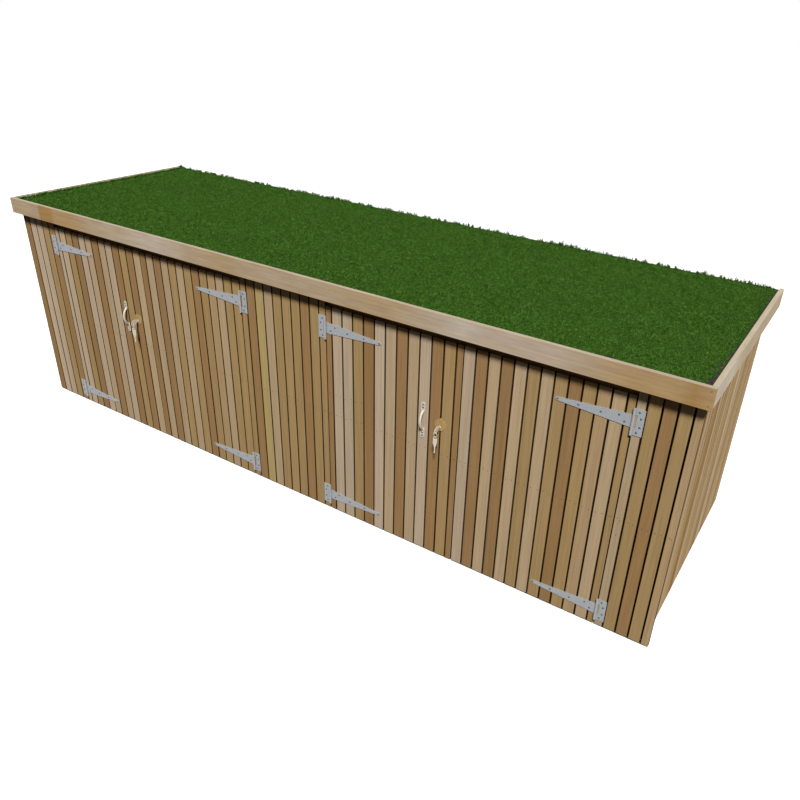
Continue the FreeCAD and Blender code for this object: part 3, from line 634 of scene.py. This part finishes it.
def blade(tuft, draw, shade, spread, length, width, rise, droop):
    """One leaf of two faces, leaving its root at the angle rise and bent by droop at half its length."""
    leaf_uv = tuft.loops.layers.uv[leaf_map]
    root_depth, map_margin = 0.001, 0.02
    heading = draw.uniform(0, math.tau)
    root = Vector((draw.uniform(-spread, spread), draw.uniform(-spread, spread), -root_depth))
    turned = Matrix.Rotation(heading, 3, "Z")
    spine, angle, rows = Vector((0, 0, 0)), rise, []
    for up, half in ((0.0, 0.42), (0.5, 0.5), (1.0, 0.0)):
        sides = (-half * width, half * width) if half else (0.0,)
        row = [tuft.verts.new(turned @ (spine + Vector((side, 0, 0))) + root) for side in sides]
        rows.append((up, row))
        spine = spine + 0.5 * length * Vector((0, math.sin(angle), math.cos(angle)))
        angle += droop
    for (up_0, lower), (up_1, upper) in zip(rows, rows[1:]):
        face = tuft.faces.new(lower + upper[::-1])
        face.smooth = True
        for loop in face.loops:
            up = up_0 if loop.vert in lower else up_1
            loop[leaf_uv].uv = (shade, map_margin + (1 - 2 * map_margin) * up)


# Six tufts of the sward and four sprigs are modelled; the roof repeats them turned and grown differently.
draw = random.Random(81)
tufts = bpy.data.collections.new("tufts")
sward_kinds, sprig_kinds = 6, 4
sward_blades, sprig_blades = 5, 9
for kind in range(sward_kinds + sprig_kinds):
    tuft = bmesh.new()
    tuft.loops.layers.uv.new(leaf_map)
    if kind < sward_kinds:
        for count in range(sward_blades):
            shade = 0.1 + 0.8 * (kind + draw.uniform(-0.5, 0.5)) / (sward_kinds - 1)
            blade(tuft, draw, shade, spread=0.004, length=draw.uniform(0.0055, 0.009),
                  width=draw.uniform(0.0018, 0.0028), rise=draw.uniform(0.6, 1.1),
                  droop=draw.uniform(0.2, 0.5))
    else:
        for count in range(sprig_blades):
            shade = draw.uniform(0.02, 0.98)
            blade(tuft, draw, shade, spread=0.005, length=draw.uniform(0.008, 0.028),
                  width=draw.uniform(0.0018, 0.003), rise=draw.uniform(0.0, 0.6),
                  droop=draw.uniform(0.1, 0.7))
    mesh = bpy.data.meshes.new("tuft_%d" % kind)
    tuft.to_mesh(mesh)
    tuft.free()
    tufts.objects.link(bpy.data.objects.new("tuft_%d" % kind, mesh))

sowing = bpy.data.node_groups.new("sowing", "GeometryNodeTree")
sowing.interface.new_socket("Places", in_out="INPUT", socket_type="NodeSocketGeometry")
sowing.interface.new_socket("Sward", in_out="OUTPUT", socket_type="NodeSocketGeometry")
grown_kinds = add(sowing, "GeometryNodeCollectionInfo", {
    "Collection": tufts, "Separate Children": True, "Reset Children": True}).outputs[0]
stored = {}
for name, holds in (("kind", "INT"), ("turn", "FLOAT_VECTOR"), ("growth", "FLOAT_VECTOR")):
    stored[name] = add(sowing, "GeometryNodeInputNamedAttribute", {"Name": name},
                       data_type=holds).outputs[0]
planted = add(sowing, "GeometryNodeInstanceOnPoints", {
    "Points": add(sowing, "NodeGroupInput").outputs[0], "Instance": grown_kinds, "Pick Instance": True,
    "Instance Index": stored["kind"], "Rotation": stored["turn"],
    "Scale": stored["growth"]}).outputs[0]
add(sowing, "NodeGroupOutput", {0: add(sowing, "GeometryNodeRealizeInstances", {0: planted}).outputs[0]})

strips, tuft_spacing, sprigs_each, margin = 6, 0.0078, 95, 0.004
strip_width, strip_length = (bed_size.x - 3 * margin) / strips, bed_size.y - 2 * margin
columns, rows = round(strip_width / tuft_spacing), round(strip_length / tuft_spacing)
fullest, at_boards, thin_width = 0.92, 0.4, 0.045
tall_growth, tall_width = 2.3, 0.025
sprig_inset, sprig_spread = 0.003, 0.008
for strip in range(strips):
    places = bmesh.new()
    kind_of = places.verts.layers.int.new("kind")
    turn_of = places.verts.layers.float_vector.new("turn")
    growth_of = places.verts.layers.float_vector.new("growth")
    left = bed_low.x + margin + strip * strip_width
    for count in range(columns * rows):
        x = left + (count % columns + draw.random()) * strip_width / columns
        y = bed_low.y + margin + (count // columns + draw.random()) * strip_length / rows
        # About one place in twelve stays empty, and more of them near the boards.
        if draw.random() > min(fullest, at_boards + from_boards(x, y) / thin_width):
            continue
        v = places.verts.new((x, y, bed_top(x, y)))
        v[kind_of] = draw.randrange(sward_kinds)
        v[turn_of] = (draw.gauss(0, 0.1), draw.gauss(0, 0.1), draw.uniform(0, math.tau))
        # The grass stands tallest against the left board and leans over it.
        grown = draw.uniform(0.8, 1.15) * (tall_growth if x - bed_low.x < tall_width else 1.0)
        v[growth_of] = (grown, grown, grown)
    for count in range(sprigs_each):
        # Sprigs gather in clumps along the rear edge.
        x = left + draw.random() * strip_width
        y = bed_high.y - sprig_inset - abs(draw.gauss(0, sprig_spread))
        v = places.verts.new((x, y, bed_top(x, y)))
        v[kind_of] = sward_kinds + draw.randrange(sprig_kinds)
        v[turn_of] = (draw.gauss(0, 0.15), draw.gauss(0, 0.15), draw.uniform(0, math.tau))
        clump = noise.noise(Vector((x / 0.05, 4.2, 0.7))) + 0.5 * noise.noise(Vector((x / 0.015, 9.1, 2.3)))
        grown = 0.55 + 0.8 * draw.random() ** 2 + 0.5 * max(0.0, clump)
        v[growth_of] = (grown, grown, grown)
    mesh = bpy.data.meshes.new("places")
    places.to_mesh(mesh)
    places.free()
    sown = bpy.data.objects.new("places", mesh)
    bpy.context.scene.collection.objects.link(sown)
    sown.modifiers.new("sowing", "NODES").node_group = sowing
    grown_mesh = bpy.data.meshes.new_from_object(sown.evaluated_get(bpy.context.evaluated_depsgraph_get()))
    bpy.data.objects.remove(sown)
    bpy.data.meshes.remove(mesh)
    grown_mesh.name = "grass_%d" % (strip + 1)
    grown_mesh.materials.clear()
    grown_mesh.materials.append(grass_leaf)
    sward = bpy.data.objects.new("grass_%d" % (strip + 1), grown_mesh)
    bpy.context.scene.collection.objects.link(sward)
    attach(sward, "carcass")
for tuft in list(tufts.objects):
    bpy.data.meshes.remove(tuft.data)
bpy.data.collections.remove(tufts)
bpy.data.node_groups.remove(sowing)

# Hinges.
# Galvanised T-hinges: a flap screwed to the post, a pin, and a tapered strap screwed across each leaf.
dress(["hinge_flaps", "hinge_pins"] + [leaf + "_hinge_straps" for leaf in leaves], galvanised)

# Blackened screws: dark phosphated steel, a little oily.
screw_steel = mottled("blackened screw steel", patch_mm=2, detail=2.0, dark="#2E2F30", light="#4A4B4B",
                      roughness=(0.45, 0.6), metallic=0.4)
dress(["flap_screws"] + [leaf + "_screws" for leaf in leaves], screw_steel)

# Pull handles.
# A pressed bow handle with two oval feet, screwed to the lock leaf, in a cream enamel.

# Cream enamel over steel: smooth, with a dull sheen.
cream = mottled("cream enamel", patch_mm=12, detail=2.0, dark="#B7AFA0", light="#C2BBAD",
                roughness=(0.5, 0.62))
dress(["left_pull_handle", "right_pull_handle"], cream)

# Locks and keys.
# A turned wooden disc closes the hole round the cylinder, the rim lock sits behind on its block, and a
# key with a second one on a ring hangs in the cylinder. The deadbolt shoots into a keep.

# Bronze lacquer: warm brown metal paint with a fine pebble.
bronze = mottled("bronze lacquer", patch_mm=0.8, detail=2.0, dark="#8F7347", light="#A18455",
                 roughness=(0.45, 0.6), metallic=0.35)
for side in ("left", "right"):
    turned_disc = boards(side + "_lock_disc", sheet_arris, ["#A8895A"], 91)
    disc = finished(side + "_keyhole_disc", turned_disc, cedar)
    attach(disc, side + "_lock_door")
    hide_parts(side + "_lock_disc")
    dress([side + "_rim_lock", side + "_lock_keep"], bronze)
    dress([side + "_deadbolt"], galvanised)
    dress([side + piece for piece in ("_key", "_key_ring", "_spare_key")], cream)

# Slide bolts.
# The leaves without a lock have a galvanised rod with a knob at the top and the bottom. It slides in two
# guides on a plate that is fixed to the ledge.
for side in ("left", "right"):
    dress([side + piece for piece in ("_bolt_plates", "_top_bolt", "_bottom_bolt")], galvanised)

# Floor, light and camera.
# A plain pale studio floor, a soft key from the front, a broad fill from the right, a low soft light
# from behind for the far sides, and a weak, faintly warm sky.


def shown(tree):
    """One for the rays that show a surface to the camera, also by gloss or glass, and nought for light."""
    rays = add(tree, "ShaderNodeLightPath").outputs
    seen = rays["Is Camera Ray"]
    for ray in ("Is Glossy Ray", "Is Transmission Ray"):
        seen = add(tree, "ShaderNodeMath", {0: seen, 1: rays[ray]}, operation="MAXIMUM").outputs[0]
    return seen


# Studio floor: white where it is seen; matt grey to the light that it throws back on the object.
studio_white = bpy.data.materials.new("studio floor")
studio_white.use_nodes = True
tree = studio_white.node_tree
dim, white = (0.06, 0.06, 0.06, 1), (0.9, 0.9, 0.9, 1)
paint = add(tree, "ShaderNodeMix", {0: shown(tree), 6: dim, 7: white}, data_type="RGBA").outputs[2]
shader = tree.nodes["Principled BSDF"]
shader.inputs["Roughness"].default_value = 0.9
shader.inputs["Specular IOR Level"].default_value = 0.0
tree.links.new(paint, shader.inputs["Base Color"])
half_floor, floor_drop = 30, 0.0005
ground = bmesh.new()
bmesh.ops.create_grid(ground, x_segments=1, y_segments=1, size=half_floor)
bmesh.ops.translate(ground, verts=ground.verts, vec=(0, 0, cad_box[0][2] - floor_drop))
studio_floor = finished("studio_floor", ground, studio_white)

world = bpy.data.worlds.new("studio")
bpy.context.scene.world = world
world.use_nodes = True
tree = world.node_tree
tree.nodes.clear()
sky = add(tree, "ShaderNodeBackground", {"Color": (1, 0.9, 0.8, 1), "Strength": 0.06}).outputs[0]
backdrop = add(tree, "ShaderNodeBackground", {"Color": (1, 1, 1, 1), "Strength": 1.0}).outputs[0]
surround = add(tree, "ShaderNodeMixShader", {0: shown(tree), 1: sky, 2: backdrop}).outputs[0]
add(tree, "ShaderNodeOutputWorld", {0: surround})

for name, towards, strength, spread in (("key", (0.3, -0.5, 0.785), 5.4, 11),
                                        ("right_fill", (0.93, 0.1, 0.35), 1.3, 30),
                                        ("rear_fill", (-0.65, 0.74, 0.15), 2.5, 40)):
    lamp = bpy.data.lights.new(name, "SUN")
    lamp.energy = strength
    lamp.angle = math.radians(spread)
    holder = bpy.data.objects.new(name, lamp)
    holder.rotation_euler = Vector(towards).to_track_quat("Z", "Y").to_euler()
    bpy.context.scene.collection.objects.link(holder)

# The camera stands where the photograph was taken from, with its focal length in pixels of the frame
# and its angles in degrees: up from straight down, leaning to one side, and round from facing the front.
frame_px, focal_px = 800, 768.125
tilt, lean, turn = 60.4676, -1.0918, 33.4772
lens = bpy.data.cameras.new("camera")
lens.sensor_width = 36
lens.lens = lens.sensor_width * focal_px / frame_px
camera = bpy.data.objects.new("camera", lens)
camera.location = (2.2623, -3.0289, 2.4157)
camera.rotation_euler = [math.radians(angle) for angle in (tilt, lean, turn)]
bpy.context.scene.collection.objects.link(camera)
bpy.context.scene.camera = camera
bpy.context.scene.view_settings.view_transform = "Standard"

bpy.context.view_layer.update()
